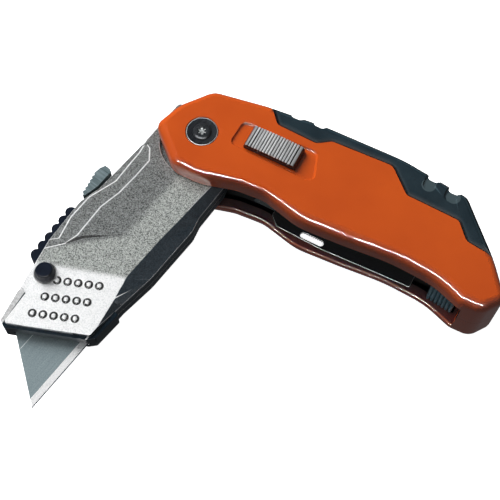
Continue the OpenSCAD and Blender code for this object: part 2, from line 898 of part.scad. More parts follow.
module blade_carriage() {
    color(dark_steel)
        in_carrier()
            union() {
                prism(carriage_corners, -2.2, -blade_t / 2);
                box(stem_x0 + 0.3, stem_x1 - 0.3, slider_y, -7.7, -1, 2.2);
                post([blade_rear + blade_l / 2 + notch_xs[0], blade_back_y + 1.2], 1.0, -1, 0.5);
            }
}

module thumb_slider() {
    teeth = 6;
    color(cast_silver)
        in_carrier()
            translate([0, 0, -4.8])
                linear_extrude(9.6)
                    polygon(concat(
                        [[25.3, slider_y], [24.7, -17], [24.7, -18.8], [26.4, -19.6]],
                        [
                            for (i = [0:teeth - 1])
                                each [
                                    mixed([28.0, -19.75], [36.4, -18.0], i / teeth),
                                    mixed([28.0, -19.75], [36.4, -18.0], (i + 0.55) / teeth) + [0, -0.35],
                                    mixed([28.0, -19.75], [36.4, -18.0], (i + 0.9) / teeth) + [0, 0.3]
                                ]
                        ],
                        [[36.9, -17.4], [34.5, -16.6], [31.5, slider_y]]
                    ));
}

front_shell();
back_shell();
front_grip();
back_grip();
front_liner();
pivot_barrel();
pivot_screw();
pivot_washer();
pivot_spacers();
handle_screws();
spare_blade_tray();
spare_blades();
lock_slide();
lock_bar();
lock_pin();
lock_spring();
storage_latch();
latch_spring();
carrier_front_shell();
carrier_back_shell();
nose_insert();
spine_grip();
tang_bushing();
carrier_screws();
detent_strip();
release_button();
button_spring();
blade();
blade_carriage();
thumb_slider();
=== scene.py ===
"""Looks of a folding utility knife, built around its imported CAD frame. Metres, in the row frame."""

import json
import math

import bmesh
import bpy
from mathutils import Matrix, Vector
from mathutils.bvhtree import BVHTree


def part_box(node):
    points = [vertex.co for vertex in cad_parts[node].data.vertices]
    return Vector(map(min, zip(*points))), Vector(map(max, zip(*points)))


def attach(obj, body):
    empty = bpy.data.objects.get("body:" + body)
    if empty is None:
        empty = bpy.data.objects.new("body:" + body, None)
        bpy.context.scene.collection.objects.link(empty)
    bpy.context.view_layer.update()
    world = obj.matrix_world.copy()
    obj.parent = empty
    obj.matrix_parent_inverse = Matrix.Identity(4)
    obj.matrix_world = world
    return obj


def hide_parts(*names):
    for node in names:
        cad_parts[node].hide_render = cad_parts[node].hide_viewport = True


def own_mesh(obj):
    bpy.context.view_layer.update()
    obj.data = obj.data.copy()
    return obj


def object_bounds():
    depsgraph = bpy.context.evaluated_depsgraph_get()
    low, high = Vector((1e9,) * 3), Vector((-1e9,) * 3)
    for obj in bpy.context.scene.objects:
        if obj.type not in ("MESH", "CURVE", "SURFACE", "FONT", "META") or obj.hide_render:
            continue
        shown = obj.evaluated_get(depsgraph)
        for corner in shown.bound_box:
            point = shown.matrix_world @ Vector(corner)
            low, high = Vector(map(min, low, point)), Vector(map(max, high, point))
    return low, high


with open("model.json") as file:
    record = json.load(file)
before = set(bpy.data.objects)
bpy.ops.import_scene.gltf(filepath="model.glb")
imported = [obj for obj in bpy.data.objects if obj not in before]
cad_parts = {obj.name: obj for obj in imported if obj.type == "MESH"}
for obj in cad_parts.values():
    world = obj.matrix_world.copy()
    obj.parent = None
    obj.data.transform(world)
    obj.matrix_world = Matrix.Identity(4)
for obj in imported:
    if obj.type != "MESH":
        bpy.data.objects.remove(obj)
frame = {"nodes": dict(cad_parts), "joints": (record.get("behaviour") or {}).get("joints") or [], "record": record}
CAD_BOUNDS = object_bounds()

MM = 0.001
NODES = frame["nodes"]
BODY_OF = {
    node: body
    for body, members in frame["record"]["behaviour"]["bodies"].items()
    for node in members
}
JOINTS = {joint["name"]: joint for joint in frame["joints"]}

# The thumb pads in the grips, and how far from the middle plane the grips' dark walls reach, in
# millimetres
THUMB_PADS = (69.2, 15.4), (77.4, 15.1)
THUMB_PAD_RADIUS = 2.2
GRIP_WALLS = 11.5

# The carrier's own frame: origin on the pivot in the middle plane, +x to the nose, +y to the
# cutting edge, +z to the front face
PIVOT = Vector(JOINTS["fold"]["pos_m"])
TO_NOSE = Vector(JOINTS["blade_slide"]["axis"]).normalized()
TO_EDGE = Vector((0, 0, 1)).cross(TO_NOSE)
EDGE_Y = max((Vector(corner) - PIVOT).dot(TO_EDGE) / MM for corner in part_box("blade"))

# Half the width of the handle's channel. Half the carrier's thickness: its faces stand 0.35 mm past
# the bushing's ends
CHANNEL_HALF = 6 * MM
CARRIER_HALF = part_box("tang_bushing")[1].z - PIVOT.z + 0.35 * MM


def carrier_point(x, y, z=0.0):
    """A point given in the carrier's own frame, in millimetres."""
    return PIVOT + TO_NOSE * x * MM + TO_EDGE * y * MM + Vector((0, 0, z * MM))


# ---- Mesh helpers


def link(name, mesh):
    """A new object in the scene."""
    piece = bpy.data.objects.new(name, mesh)
    bpy.context.scene.collection.objects.link(piece)
    return piece


def mesh_of(name, points, faces):
    """A mesh whose faces all look outwards."""
    mesh = bpy.data.meshes.new(name)
    mesh.from_pydata([tuple(p) for p in points], [], faces)
    work = bmesh.new()
    work.from_mesh(mesh)
    bmesh.ops.recalc_face_normals(work, faces=work.faces)
    work.to_mesh(mesh)
    work.free()
    return mesh


def loft(rings, closed=True):
    """Points and faces of a solid through rings of equally many points, or of a closed band."""
    count = len(rings[0])
    points = [p for ring in rings for p in ring]
    faces = []
    last = len(rings) - 1
    for j in range(last if closed else last + 1):
        low, high = j * count, ((j + 1) % len(rings)) * count
        for i in range(count):
            k = (i + 1) % count
            faces.append((low + i, low + k, high + k, high + i))
    if closed:
        faces.append(tuple(reversed(range(count))))
        faces.append(tuple(last * count + i for i in range(count)))
    return points, faces


def joined(shapes):
    """One mesh from several (points, faces) shapes."""
    points, faces = [], []
    for own_points, own_faces in shapes:
        shift = len(points)
        points.extend(own_points)
        faces.extend(tuple(i + shift for i in face) for face in own_faces)
    return points, faces


def bake(piece):
    """Applies the piece's modifiers to its mesh."""
    graph = bpy.context.evaluated_depsgraph_get()
    piece.data = bpy.data.meshes.new_from_object(piece.evaluated_get(graph))
    piece.modifiers.clear()


def carve(piece, shapes, finish, level=0.985):
    """Cuts the shapes out of the piece. The walls that this makes get the finish, and level floors don't."""
    cutter = link("cutter", mesh_of("cutter", *joined(shapes)))
    cutter.data.materials.append(finish)
    cut = piece.modifiers.new("Carve", "BOOLEAN")
    cut.operation = "DIFFERENCE"
    cut.solver = "MANIFOLD"
    cut.material_mode = "TRANSFER"
    cut.object = cutter
    bake(piece)
    bpy.data.objects.remove(cutter)
    for polygon in piece.data.polygons:
        if polygon.material_index and abs(polygon.normal.z) > level:
            polygon.material_index = 0


def plane_of(normal, point):
    """A key that faces in the same plane share."""
    return (*(round(c, 2) for c in normal), round(normal.dot(point) / MM, 2))


def folded_planes(mesh, tolerance=1.002):
    """Planes of the many-sided faces that fold over themselves, whose triangles add up to too much."""
    mesh.calc_loop_triangles()
    filled = [0.0] * len(mesh.polygons)
    for triangle in mesh.loop_triangles:
        filled[triangle.polygon_index] += triangle.area
    return {
        plane_of(polygon.normal, polygon.center)
        for polygon in mesh.polygons
        if len(polygon.vertices) > 4 and filled[polygon.index] > polygon.area * tolerance
    }


def clean(mesh, weld=0.002 * MM, flatness=math.radians(0.3)):
    """Welds the mesh and joins the triangles of each flat face."""
    work = bmesh.new()
    work.from_mesh(mesh)
    bmesh.ops.remove_doubles(work, verts=work.verts, dist=weld)
    bmesh.ops.dissolve_limit(
        work, angle_limit=flatness, verts=[], edges=work.edges, delimit={"MATERIAL"}
    )
    work.to_mesh(mesh)
    work.free()


def copy_of(node, look):
    """A new object with the CAD node's shape, wearing the material."""
    piece = link(node + "_look", NODES[node].data.copy())
    piece.data.materials.clear()
    piece.data.materials.append(look)
    clean(piece.data)
    return piece


def sharp_edges(mesh, angle):
    """The planes that meet at each edge sharper than the angle, leaving out carved walls."""
    work = bmesh.new()
    work.from_mesh(mesh)
    sharp = {
        edge.index: {plane_of(face.normal, face.calc_center_median()) for face in edge.link_faces}
        for edge in work.edges
        if len(edge.link_faces) == 2
        and edge.calc_face_angle() > math.radians(angle)
        and not any(face.material_index for face in edge.link_faces)
    }
    work.free()
    return sharp


def weigh_edges(piece, angle, lesser_shares=(0.4, 0.15, 0.0)):
    """Marks the sharp edges for rounding: less of it where a flat face would fold over itself."""
    sharp = sharp_edges(piece.data, angle)
    weights = piece.data.attributes.new("bevel_weight_edge", "FLOAT", "EDGE").data
    for index in sharp:
        weights[index].value = 1.0
    for share in lesser_shares:
        graph = bpy.context.evaluated_depsgraph_get()
        trial = bpy.data.meshes.new_from_object(piece.evaluated_get(graph))
        folded = folded_planes(trial)
        bpy.data.meshes.remove(trial)
        weights = piece.data.attributes["bevel_weight_edge"].data
        for index, planes in sharp.items():
            if planes & folded:
                weights[index].value = share
        piece.data.update()


def soften(piece, width, segments=2, angle=32, edge_look=None):
    """Rounds the edges, which may wear their own look, and shades the faces smoothly."""
    clean(piece.data)
    piece.data.polygons.foreach_set("use_smooth", [True] * len(piece.data.polygons))
    if width:
        bevel = piece.modifiers.new("Edges", "BEVEL")
        bevel.width = width * MM
        bevel.segments = segments
        bevel.limit_method = "WEIGHT"
        bevel.use_clamp_overlap = False
        bevel.miter_outer = "MITER_ARC"
        if edge_look:
            bevel.material = len(piece.data.materials)
            piece.data.materials.append(edge_look)
        weigh_edges(piece, angle)
    else:
        piece.data.set_sharp_from_angle(angle=math.radians(angle))
    normals = piece.modifiers.new("Normals", "WEIGHTED_NORMAL")
    normals.keep_sharp = True
    normals.weight = 80


def stand_for(piece, node):
    """The piece stands for the CAD node and rides on its body."""
    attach(piece, BODY_OF[node])
    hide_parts(node)


# ---- Material helpers


class Shading:
    """A material whose nodes are added one call at a time."""

    def __init__(self, name, **settings):
        self.material = bpy.data.materials.new(name)
        self.material.use_nodes = True
        self.tree = self.material.node_tree
        self.shader = self.tree.nodes["Principled BSDF"]
        for key, value in settings.items():
            self.shader.inputs[key.replace("_", " ")].default_value = value
        self.place = self.add("TexCoord").outputs["Object"]

    def add(self, kind, inputs=None, **settings):
        """A new node, whose inputs are values or the sockets that feed them."""
        node = self.tree.nodes.new("ShaderNode" + kind)
        for key, value in settings.items():
            setattr(node, key, value)
        for key, value in (inputs or {}).items():
            if isinstance(value, bpy.types.NodeSocket):
                self.tree.links.new(value, node.inputs[key])
            else:
                node.inputs[key].default_value = value
        return node

    def stretched(self, along, factor):
        """Object coordinates squeezed by the factor along a direction, for drawn-out grain."""
        x_axis = Vector(along).normalized()
        y_axis = Vector((0, 0, 1)).cross(x_axis)
        parts = [
            self.add("VectorMath", {0: self.place, 1: tuple(axis)}, operation="DOT_PRODUCT")
            for axis in (x_axis, y_axis, Vector((0, 0, 1)))
        ]
        squeezed = self.math("MULTIPLY", parts[0].outputs["Value"], factor)
        row = self.add(
            "CombineXYZ",
            {"X": squeezed, "Y": parts[1].outputs["Value"], "Z": parts[2].outputs["Value"]},
        )
        return row.outputs["Vector"]

    def noise(self, scale, detail=3.0, rough=0.55, place=None):
        """Cloudy values around a half."""
        node = self.add(
            "TexNoise",
            {"Vector": place or self.place, "Scale": scale, "Detail": detail, "Roughness": rough},
        )
        return node.outputs["Fac"]

    def cells(self, scale):
        """A random value for each cell of about 1/scale metres."""
        node = self.add("TexVoronoi", {"Vector": self.place, "Scale": scale})
        split = self.add("SeparateColor", {"Color": node.outputs["Color"]})
        return split.outputs["Red"]

    def math(self, operation, a, b=0.0):
        node = self.add("Math", {0: a, 1: b}, operation=operation)
        return node.outputs["Value"]

    def along(self, direction, start, end):
        """0 before the point start and 1 after the point end, along the direction."""
        direction = Vector(direction).normalized()
        travel = self.add("VectorMath", {0: self.place, 1: tuple(direction)}, operation="DOT_PRODUCT")
        node = self.add(
            "MapRange",
            {
                "Value": travel.outputs["Value"],
                "From Min": Vector(start).dot(direction),
                "From Max": Vector(end).dot(direction),
            },
            interpolation_type="SMOOTHSTEP",
        )
        return node.outputs["Result"]

    def beside(self, start, end, low, high):
        """0 to 1 between two distances in millimetres from a line, on the nose's side of it."""
        right = (end - start).normalized().cross(Vector((0, 0, 1)))
        if right.dot(TO_NOSE) < 0:
            right = -right
        return self.along(right, start + right * low * MM, start + right * high * MM)

    def band(self, direction, middle, half_width, fade=1.4):
        """1 within the half width, in millimetres, of the plane through the point middle."""
        inner = direction.normalized() * MM * half_width
        outer = inner * fade
        rising = self.along(direction, middle - outer, middle - inner)
        falling = self.along(direction, middle + inner, middle + outer)
        return self.math("SUBTRACT", rising, falling)

    def disc(self, x, y, radius):
        """1 within the radius of a point, seen from +Z, in millimetres."""
        level = self.add("VectorMath", {0: self.place, 1: (1, 1, 0)}, operation="MULTIPLY")
        away = self.add(
            "VectorMath", {0: level.outputs["Vector"], 1: (x * MM, y * MM, 0)}, operation="DISTANCE"
        )
        return self.math("LESS_THAN", away.outputs["Value"], radius * MM)

    def facing(self, direction, low, high, clamp=True):
        """0 to 1 as the surface's own normal turns towards the direction."""
        normal = self.add("TexCoord").outputs["Normal"]
        turned = self.add(
            "VectorMath", {0: normal, 1: tuple(Vector(direction).normalized())}, operation="DOT_PRODUCT"
        )
        node = self.add(
            "MapRange", {"Value": turned.outputs["Value"], "From Min": low, "From Max": high}, clamp=clamp
        )
        return node.outputs["Result"]

    def ramp(self, value, *stops):
        """The value as a colour, by (position, colour) stops."""
        node = self.add("ValToRGB", {"Fac": value})
        marks = node.color_ramp.elements
        for index, (position, colour) in enumerate(stops):
            mark = marks[index] if index < 2 else marks.new(position)
            mark.position = position
            mark.color = (*colour, 1)
        return node.outputs["Color"]

    def mixed(self, share, a, b):
        """Colour a where the share is 0 and colour b where it is 1."""
        node = self.add("Mix", data_type="RGBA")
        for socket, value in zip((0, 6, 7), (share, a, b)):
            if isinstance(value, bpy.types.NodeSocket):
                self.tree.links.new(value, node.inputs[socket])
            else:
                node.inputs[socket].default_value = value if socket == 0 else (*value, 1)
        return node.outputs[2]

    def colour(self, socket):
        self.tree.links.new(socket, self.shader.inputs["Base Color"])

    def roughness(self, value, low, high):
        node = self.add("MapRange", {"Value": value, "To Min": low, "To Max": high})
        self.tree.links.new(node.outputs["Result"], self.shader.inputs["Roughness"])

    def bump(self, height, distance):
        """Relief of that many millimetres."""
        node = self.add("Bump", {"Height": height, "Distance": distance * MM, "Strength": 1.0})
        self.tree.links.new(node.outputs["Normal"], self.shader.inputs["Normal"])


def grey(value):
    return (value, value, value)


# ---- Materials


def orange_paint():
    """Glossy enamel with a faint orange peel."""
    look = Shading(
        "orange_paint", Coat_Weight=1.0, Coat_Roughness=0.03, Coat_IOR=1.8, Specular_IOR_Level=0.15
    )
    drift = look.noise(55, 2)
    look.colour(look.ramp(drift, (0.3, (0.56, 0.075, 0.004)), (0.7, (0.62, 0.088, 0.005))))
    look.roughness(look.noise(900, 2), 0.36, 0.46)
    look.bump(look.noise(420, 2), 0.005)
    return look.material


def shaded_inside():
    """The shells' insides, in painted shade: brown at the lips and blue-black deeper in the channel."""
    look = Shading("shaded_inside", Specular_IOR_Level=0.2)
    patches = look.noise(260, 3)
    depth = look.ramp(patches, (0.3, (0.006, 0.003, 0.010)), (0.7, (0.011, 0.005, 0.014)))
    lip = look.ramp(patches, (0.3, (0.10, 0.014, 0.012)), (0.7, (0.15, 0.022, 0.016)))
    lips = (
        look.band(Vector((0, 0, 1)), Vector((0, 0, PIVOT.z + offset)), 0.4)
        for offset in (-CHANNEL_HALF, CHANNEL_HALF)
    )
    at_lip = look.math("MAXIMUM", *lips)
    look.colour(look.mixed(at_lip, depth, lip))
    look.roughness(look.noise(900, 3), 0.5, 0.7)
    look.bump(look.noise(1800, 3), 0.03)
    return look.material


def slate_rubber():
    """Matt rubber with a painted highlight on its sloping rim, lighter on the thumb pads, and dark down its walls.
    """
    look = Shading("slate_rubber", Specular_IOR_Level=0.3)
    patches = look.noise(140, 4)
    top = look.ramp(patches, (0.3, (0.007, 0.017, 0.024)), (0.7, (0.013, 0.027, 0.036)))
    # Painted highlight: the sloping rim is lighter than the flat top
    rim = look.ramp(patches, (0.3, (0.018, 0.036, 0.047)), (0.7, (0.028, 0.050, 0.062)))
    level = look.math("ABSOLUTE", look.facing((0, 0, 1), 0.0, 1.0, clamp=False))
    plain = look.mixed(look.math("GREATER_THAN", level, 0.93), rim, top)
    pads = look.math("MAXIMUM", *(look.disc(x, y, THUMB_PAD_RADIUS) for x, y in THUMB_PADS))
    padded = look.mixed(pads, plain, (0.050, 0.075, 0.085))
    height = look.add("SeparateXYZ", {"Vector": look.place}).outputs["Z"]
    from_middle = look.math("ABSOLUTE", look.math("SUBTRACT", height, PIVOT.z))
    on_wall = look.math("LESS_THAN", from_middle, GRIP_WALLS * MM)
    look.colour(look.mixed(on_wall, padded, (0.002, 0.004, 0.006)))
    look.roughness(look.noise(1400, 3), 0.42, 0.62)
    look.bump(look.noise(3200, 3), 0.03)
    return look.material


def cast_silver():
    """Coarse sparkling silver on the faces, with painted shade on the spine half behind the fading crease and
    blue-black on the sides, and a painted highlight that makes the nose brightest.
    """
    look = Shading("cast_silver", Metallic=0.3, Specular_IOR_Level=0.5)
    fine = look.math("MULTIPLY", look.noise(2600, 3), 0.4)
    grain = look.math("ADD", look.math("MULTIPLY", look.cells(4200), 0.6), fine)
    plate = look.ramp(grain, (0.2, (0.09, 0.096, 0.092)), (0.75, (0.60, 0.63, 0.60)))
    # Painted shade: the plate is darker on the spine side of its middle, behind the fading crease. Painted
    # highlight: the nose is brightest
    shaded_plate = look.ramp(grain, (0.2, (0.035, 0.038, 0.037)), (0.75, (0.32, 0.335, 0.33)))
    nose = look.ramp(grain, (0.1, (0.72, 0.74, 0.74)), (0.6, (1.0, 1.0, 1.0)))
    side = look.ramp(grain, (0.2, (0.010, 0.018, 0.026)), (0.8, (0.030, 0.046, 0.060)))
    past_middle = look.along(TO_EDGE, carrier_point(0, 0), carrier_point(0, 3.4))
    past_crease = look.beside(carrier_point(40.4, 0.3), carrier_point(52.4, -10.6), -0.1, 1.2)
    lit = look.math("MAXIMUM", past_middle, past_crease)
    at_nose = look.beside(carrier_point(51.1, 9.3), carrier_point(59.9, -7.9), -1.6, 0.6)
    face = look.mixed(at_nose, look.mixed(lit, shaded_plate, plate), nose)
    # Painted shade: faces turned toward the cutting edge, past the plateau, are blue-black
    outer = look.along(TO_EDGE, carrier_point(0, 9), carrier_point(0, 9.5))
    away = look.math("MULTIPLY", look.facing(TO_EDGE, 0.12, 0.2), outer)
    look.colour(look.mixed(away, face, side))
    look.roughness(look.cells(2600), 0.34, 0.56)
    look.bump(look.noise(2600, 3), 0.05)
    return look.material


def edge_highlight():
    """A painted highlight: bright metal along raised lines and edges."""
    look = Shading("edge_highlight", Metallic=0.4, Specular_IOR_Level=0.6)
    look.colour(look.ramp(look.noise(1500, 3), (0.3, grey(0.72)), (0.6, grey(0.97))))
    look.roughness(look.noise(2500, 2), 0.25, 0.4)
    return look.material


def groove_shade():
    """Painted shade in the grooves."""
    look = Shading("groove_shade", Specular_IOR_Level=0.2)
    look.colour(look.ramp(look.noise(1800, 3), (0.3, grey(0.02)), (0.7, grey(0.06))))
    look.roughness(look.noise(2500, 2), 0.5, 0.7)
    return look.material


def nose_steel():
    """The insert: a painted highlight on its flat faces along the spine side and on the cutting side's lip, and
    painted shade, blue-black, at the front and the cutting side.
    """
    look = Shading("nose_steel", Metallic=0.3, Specular_IOR_Level=0.3)
    grain = look.noise(1500, 3)
    bright = look.ramp(grain, (0.3, grey(0.45)), (0.7, grey(0.75)))
    dark = look.ramp(grain, (0.3, (0.004, 0.010, 0.018)), (0.7, (0.012, 0.024, 0.034)))
    # Painted highlight on the flat faces along the spine side and on the lip; painted shade everywhere else
    flat = look.facing((0, 0, 1), 0.55, 0.8)
    spine_side = look.beside(carrier_point(71.1, -10.1), carrier_point(82.3, -8.6), 0.35, 0.5)
    lip = look.band(TO_EDGE, carrier_point(59.5, 13.4), 0.2)
    lit = look.math("MULTIPLY", flat, look.math("MAXIMUM", spine_side, lip))
    look.colour(look.mixed(lit, dark, bright))
    look.roughness(grain, 0.25, 0.42)
    look.bump(look.noise(2600, 3), 0.02)
    return look.material


def blade_steel():
    """Ground steel: drawn-out scratches on the flat, and a ground bevel painted near-white as a highlight."""
    look = Shading("blade_steel", Metallic=0.15)
    scratches = look.noise(5200, 4, 0.7, look.stretched(TO_NOSE, 0.02))
    speckle = look.noise(2600, 3)
    mixed = look.math("ADD", look.math("MULTIPLY", scratches, 0.5), look.math("MULTIPLY", speckle, 0.5))
    flat = look.ramp(mixed, (0.3, (0.15, 0.20, 0.215)), (0.7, (0.33, 0.40, 0.42)))
    # Painted highlight: the ground bevel is near-white
    ground = look.ramp(speckle, (0.3, grey(0.85)), (0.5, grey(1.0)))
    at_bevel = look.facing(TO_EDGE, 0.05, 0.09)
    scratch = look.math(
        "MULTIPLY",
        look.band(TO_EDGE, carrier_point(80, -1.0), 0.06),
        look.band(TO_NOSE, carrier_point(81.2, 0), 2.6),
    )
    scratched = look.mixed(scratch, flat, (0.9, 0.95, 0.95))
    honed = look.along(TO_EDGE, carrier_point(0, EDGE_Y - 0.35), carrier_point(0, EDGE_Y - 0.2))
    bevel = look.mixed(honed, ground, (0.02, 0.03, 0.05))
    look.colour(look.mixed(at_bevel, scratched, bevel))
    look.roughness(scratches, 0.28, 0.45)
    look.bump(scratches, 0.02)
    return look.material


def ribbed_steel():
    """The lock slide: bright crests, and painted shade, dark, between the ribs and on the sides."""
    look = Shading("slide_steel", Metallic=0.4)
    grain = look.noise(1800, 4, 0.6, look.stretched((0, 1, 0), 0.08))
    crest = look.ramp(grain, (0.3, grey(0.5)), (0.75, grey(0.9)))
    # Painted shade between the ribs and on the sides, below the crests
    gap = look.ramp(grain, (0.3, (0.02, 0.012, 0.012)), (0.75, (0.05, 0.035, 0.035)))
    gap_top = Vector((0, 0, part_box("front_shell")[1].z + 1.55 * MM))
    raised = look.along((0, 0, 1), gap_top, gap_top + Vector((0, 0, 0.3 * MM)))
    look.colour(look.mixed(raised, gap, crest))
    look.roughness(grain, 0.24, 0.4)
    look.bump(grain, 0.02)
    return look.material


def star_steel():
    """The pivot screw: dark, with a painted highlight, bright, on the floor of its star recess."""
    look = Shading("star_steel", Metallic=0.4)
    grain = look.noise(1800, 4)
    head = look.ramp(grain, (0.3, (0.015, 0.018, 0.022)), (0.75, (0.05, 0.055, 0.06)))
    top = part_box("pivot_screw")[1].z
    raised = look.along((0, 0, 1), Vector((0, 0, top - 0.9 * MM)), Vector((0, 0, top - 0.6 * MM)))
    # Painted highlight on the floor of the star recess
    look.colour(look.mixed(raised, (0.9, 0.92, 0.92), head))
    look.roughness(grain, 0.3, 0.45)
    look.bump(grain, 0.02)
    return look.material


def worked_metal(name, dark, bright, rough, stretch=TO_NOSE, metallic=1.0):
    """Machined or pressed metal with a directional grain."""
    look = Shading(name, Metallic=metallic)
    grain = look.noise(1800, 4, 0.6, look.stretched(stretch, 0.08))
    look.colour(look.ramp(grain, (0.3, dark), (0.75, bright)))
    look.roughness(grain, rough - 0.08, rough + 0.1)
    look.bump(grain, 0.02)
    return look.material


def moulded(name, dark, bright, rough):
    """Moulded plastic with a fine spark-eroded grain."""
    look = Shading(name, Specular_IOR_Level=0.25)
    look.colour(look.ramp(look.noise(300, 3), (0.35, dark), (0.7, bright)))
    look.roughness(look.noise(1500, 2), rough - 0.06, rough + 0.08)
    look.bump(look.noise(3500, 2), 0.02)
    return look.material


LOOKS = {
    "edge_highlight": edge_highlight(),
    "shaded_inside": shaded_inside(),
    # Painted highlight on the grips' rounded edges
    "rubber_edge_highlight": moulded("rubber_edge_highlight", (0.030, 0.052, 0.064), (0.050, 0.080, 0.095), 0.5),
    "groove_shade": groove_shade(),
    "nose_steel": nose_steel(),
    "orange_paint": orange_paint(),
    "slate_rubber": slate_rubber(),
    "cast_silver": cast_silver(),
    "blade_steel": blade_steel(),
    "plate_steel": worked_metal(
        "plate_steel", (0.045, 0.048, 0.055), (0.10, 0.105, 0.115), 0.3, (1, 0, 0)
    ),
    "slide_steel": ribbed_steel(),
    "star_steel": star_steel(),
    "thumb_steel": worked_metal(
        "thumb_steel", (0.08, 0.12, 0.13), (0.26, 0.33, 0.35), 0.4, TO_EDGE, metallic=0.3
    ),
    "dark_steel": worked_metal(
        "dark_steel", (0.012, 0.014, 0.018), (0.04, 0.044, 0.05), 0.38, metallic=0.4
    ),
    "black_plastic": moulded("black_plastic", (0.002, 0.005, 0.013), (0.005, 0.009, 0.020), 0.45),
    # The latch's blue-grey is made lighter as painted light, against the shadow that falls over it
    "latch_plastic": moulded("latch_plastic", (0.16, 0.30, 0.36), (0.27, 0.42, 0.48), 0.45),
    "brass": worked_metal("brass", (0.45, 0.30, 0.10), (0.62, 0.44, 0.17), 0.35),
}


# ---- Shapes that the carrier's faces wear


# Side is 1 for the front face and -1 for the back. Lengths are in millimetres, in the carrier's frame


def flat_slab(outline, side, top, bottom, half_width, clear=1.5):
    """A cutter below the carrier's face, whose wall slopes across the outline between two depths."""
    rings = []
    for depth, shift in ((bottom, -half_width), (top, half_width), (-clear, half_width)):
        rings.append(
            [carrier_point(x, y + shift, side * (CARRIER_HALF / MM - depth)) for x, y in outline]
        )
    return loft(rings)


def face_height(node, x, y, side, above=20):
    """Height of the carrier's face over a point, from the middle plane."""
    start = carrier_point(x, y, side * above)
    hit, spot, _, _ = NODES[node].ray_cast(start, Vector((0, 0, -side)))
    return abs(spot.z - PIVOT.z) / MM if hit else CARRIER_HALF / MM


def ring_groove(node, x, y, side, inner=0.6, outer=1.45, depth=0.35, clear=0.3, turns=28):
    """A V-shaped groove around a dome, which follows the face just outside it."""
    rings = []
    for k in range(turns):
        angle = 2 * math.pi * k / turns
        ahead, across = math.cos(angle), math.sin(angle)
        beyond = outer + 0.15
        height = face_height(node, x + beyond * ahead, y + beyond * across, side)
        profile = (inner, clear), ((inner + outer) / 2, -depth), (outer + 0.1, clear)
        rings.append(
            [carrier_point(x + r * ahead, y + r * across, side * (height + z)) for r, z in profile]
        )
    return loft(rings, closed=False)


def fading_crease(side, stations):
    """A groove that narrows and fades: (x, y, width, depth) along its line."""
    rings = []
    top = CARRIER_HALF / MM
    for x, y, width, depth in stations:
        rings.append(
            [
                carrier_point(x - width, y - width * 0.7, side * (top + 0.05)),
                carrier_point(x, y, side * (top + 0.4)),
                carrier_point(x, y, side * (top - depth)),
            ]
        )
    return loft(rings)


# The lines that the face steps down across, twice, toward the spine, and the painted shade at their end
INNER_CREASE = [
    (10.6, -14.6), (11.9, -11.5), (15.3, -8.9), (22.3, -8.8), (29.5, -9.1), (36.5, -10.4),
    (48.0, -9.8), (52.3, -10.8), (57.6, -14.9),
]
OUTER_CREASE = [
    (11.4, -13.9), (15.0, -13.2), (18.6, -13.1), (27.0, -12.6), (36.2, -15.5), (44.7, -15.4),
    (52.1, -13.6), (54.8, -16.2),
]
CREASE_END = [(9.3, -15.4), (11.2, -13.0), (12.4, -14.0), (10.6, -16.8)]
CREASE_STEP = 0.35
PAST_SPINE = -24
FADING_CREASE = [(52.4, -10.6, 1.3, 0.3), (47.5, -7.3, 0.9, 0.22), (40.4, 0.3, 0.05, 0.02)]

# Three rows of five domes
DOME_ROWS = [
    (62.8 + 6.0 * i - 1.55 * j, -4.8 + 0.45 * i + 2.75 * j) for i in range(3) for j in range(5)
]


def dressed_carrier(node, side):
    """A carrier shell with its creases and the grooves around its domes."""
    piece = copy_of(node, LOOKS["cast_silver"])
    inner, outer = (
        crease + [(crease[-1][0], PAST_SPINE), (crease[0][0], PAST_SPINE)]
        for crease in (INNER_CREASE, OUTER_CREASE)
    )
    # The crease walls wear a painted highlight
    carve(piece, [flat_slab(inner, side, 0.0, CREASE_STEP, 0.3)], LOOKS["edge_highlight"])
    carve(piece, [flat_slab(outer, side, CREASE_STEP, 2 * CREASE_STEP, 0.28)], LOOKS["edge_highlight"])
    # Painted shade at the crease end, in the grooves round the domes and in the fading crease
    carve(piece, [flat_slab(CREASE_END, side, 2 * CREASE_STEP, 1.5, 0.1)], LOOKS["groove_shade"])
    carve(piece, [ring_groove(node, x, y, side) for x, y in DOME_ROWS], LOOKS["groove_shade"])
    carve(piece, [fading_crease(side, FADING_CREASE)], LOOKS["groove_shade"])
    # The rounded edges wear a painted highlight
    soften(piece, 0.14, angle=30, edge_look=LOOKS["edge_highlight"])
    stand_for(piece, node)


# ---- Pieces

